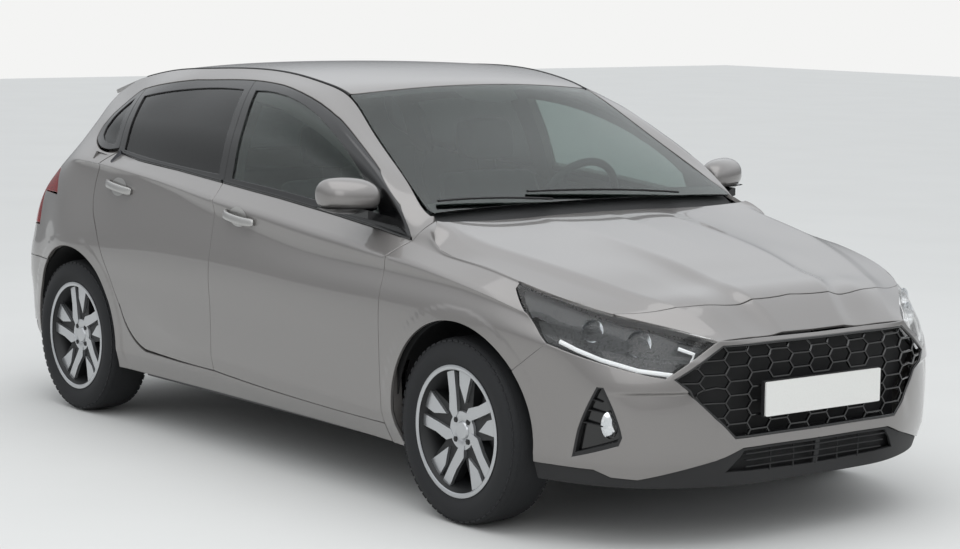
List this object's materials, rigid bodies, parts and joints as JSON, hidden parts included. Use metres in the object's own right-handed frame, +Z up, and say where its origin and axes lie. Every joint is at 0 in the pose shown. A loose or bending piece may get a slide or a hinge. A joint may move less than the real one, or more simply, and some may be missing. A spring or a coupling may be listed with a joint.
{
  "type": "hatchback car",
  "caption": "Five-door hatchback car with opening doors, bonnet and tailgate, steered front wheels and a hollow cabin.",
  "frame": {"origin": "on the ground below the middle of the car's overall length and width", "axes": "+X forward, +Y to the car's left, +Z up"},
  "size_m": [4.04, 1.95, 1.4514],
  "materials": {
    "body_paint": "warm silver-grey metallic paint",
    "glass": "clear, faint green tint",
    "cast_iron": "as cast",
    "tyre": "black rubber",
    "alloy": "machined face, dark painted pockets",
    "lamp_clear": "clear lens over dark housing",
    "lamp_red": "red lens",
    "black_plastic": "grained",
    "plate_white": "blank plate",
    "floor_steel": "dark undercoat",
    "liner": "moulded liner",
    "chassis_steel": "black chassis paint",
    "exhaust_steel": "dull",
    "cabin_plastic": "soft grain",
    "seat_fabric": "woven charcoal"
  },
  "bodies": {
    "front_door_right": {"door_front_right": "body_paint", "door_front_glass_right": "glass", "mirror_right": "body_paint"},
    "rear_door_right": {"door_rear_right": "body_paint", "door_rear_glass_right": "glass"},
    "knuckle_right": {"front_knuckle_right": "cast_iron"},
    "wheel_front_right": {"tyre_front_right": "tyre", "rim_front_right": "alloy"},
    "wheel_rear_right": {"tyre_rear_right": "tyre", "rim_rear_right": "alloy"},
    "front_door_left": {"door_front_left": "body_paint", "door_front_glass_left": "glass", "mirror_left": "body_paint"},
    "rear_door_left": {"door_rear_left": "body_paint", "door_rear_glass_left": "glass"},
    "knuckle_left": {"front_knuckle_left": "cast_iron"},
    "wheel_front_left": {"tyre_front_left": "tyre", "rim_front_left": "alloy"},
    "wheel_rear_left": {"tyre_rear_left": "tyre", "rim_rear_left": "alloy"},
    "bonnet_lid": {"bonnet": "body_paint"},
    "tailgate_lid": {"tailgate": "body_paint", "tailgate_glass": "glass"},
    "steering": {"steering_wheel": "cabin_plastic"},
    "root": {"body_side_right": "body_paint", "body_side_left": "body_paint", "fenders": "body_paint", "quarter_glass": "glass", "head_lamps": "lamp_clear", "tail_lamps": "lamp_red", "fog_surrounds": "black_plastic", "roof_panel": "body_paint", "windscreen": "glass", "front_bumper": "body_paint", "front_grille": "black_plastic", "lower_intake": "black_plastic", "number_plate": "plate_white", "rear_bumper": "body_paint", "cowl_panel": "black_plastic", "floor_pan": "floor_steel", "arch_liners": "liner", "front_subframe": "chassis_steel", "rear_axle": "chassis_steel", "exhaust": "exhaust_steel", "drive_shafts": "chassis_steel", "engine_block": "cast_iron", "dashboard": "cabin_plastic", "front_seats": "seat_fabric", "rear_bench": "seat_fabric"}
  },
  "joints": [
    {"name": "front_door_right_hinge", "type": "hinge", "parent": "root", "child": "front_door_right", "pos_m": [0.86, -0.875, 0.6], "axis": [0, 0, 1], "range_deg": [0, 65]},
    {"name": "rear_door_right_hinge", "type": "hinge", "parent": "root", "child": "rear_door_right", "pos_m": [-0.233, -0.875, 0.6], "axis": [0, 0, 1], "range_deg": [0, 68]},
    {"name": "steer_right", "type": "hinge", "parent": "root", "child": "knuckle_right", "pos_m": [1.19, -0.722, 0.215], "axis": [0, 0.1529, 0.9882], "range_deg": [-32, 32]},
    {"name": "front_wheel_right_spin", "type": "hinge", "parent": "knuckle_right", "child": "wheel_front_right", "pos_m": [1.19, -0.77, 0.3105], "axis": [0, 1, 0], "continuous": true},
    {"name": "rear_wheel_right_spin", "type": "hinge", "parent": "root", "child": "wheel_rear_right", "pos_m": [-1.39, -0.77, 0.3105], "axis": [0, 1, 0], "continuous": true},
    {"name": "front_door_left_hinge", "type": "hinge", "parent": "root", "child": "front_door_left", "pos_m": [0.86, 0.875, 0.6], "axis": [0, 0, -1], "range_deg": [0, 65]},
    {"name": "rear_door_left_hinge", "type": "hinge", "parent": "root", "child": "rear_door_left", "pos_m": [-0.233, 0.875, 0.6], "axis": [0, 0, -1], "range_deg": [0, 68]},
    {"name": "steer_left", "type": "hinge", "parent": "root", "child": "knuckle_left", "pos_m": [1.19, 0.722, 0.215], "axis": [0, -0.1529, 0.9882], "range_deg": [-32, 32]},
    {"name": "front_wheel_left_spin", "type": "hinge", "parent": "knuckle_left", "child": "wheel_front_left", "pos_m": [1.19, 0.77, 0.3105], "axis": [0, 1, 0], "continuous": true},
    {"name": "rear_wheel_left_spin", "type": "hinge", "parent": "root", "child": "wheel_rear_left", "pos_m": [-1.39, 0.77, 0.3105], "axis": [0, 1, 0], "continuous": true},
    {"name": "bonnet_hinge", "type": "hinge", "parent": "root", "child": "bonnet_lid", "pos_m": [0.845, 0, 0.945], "axis": [0, -1, 0], "range_deg": [0, 50]},
    {"name": "tailgate_hinge", "type": "hinge", "parent": "root", "child": "tailgate_lid", "pos_m": [-1.27, 0, 1.38], "axis": [0, 1, 0], "range_deg": [0, 80]},
    {"name": "steering_wheel_turn", "type": "hinge", "parent": "root", "child": "steering", "pos_m": [0.33, 0.37, 0.93], "axis": [-0.9135, 0, 0.4067], "range_deg": [-500, 500]}
  ],
  "couplings": [
    {"joint": "steer_left", "follows": "steer_right", "ratio": 1},
    {"joint": "steering_wheel_turn", "follows": "steer_right", "ratio": 15}
  ]
}
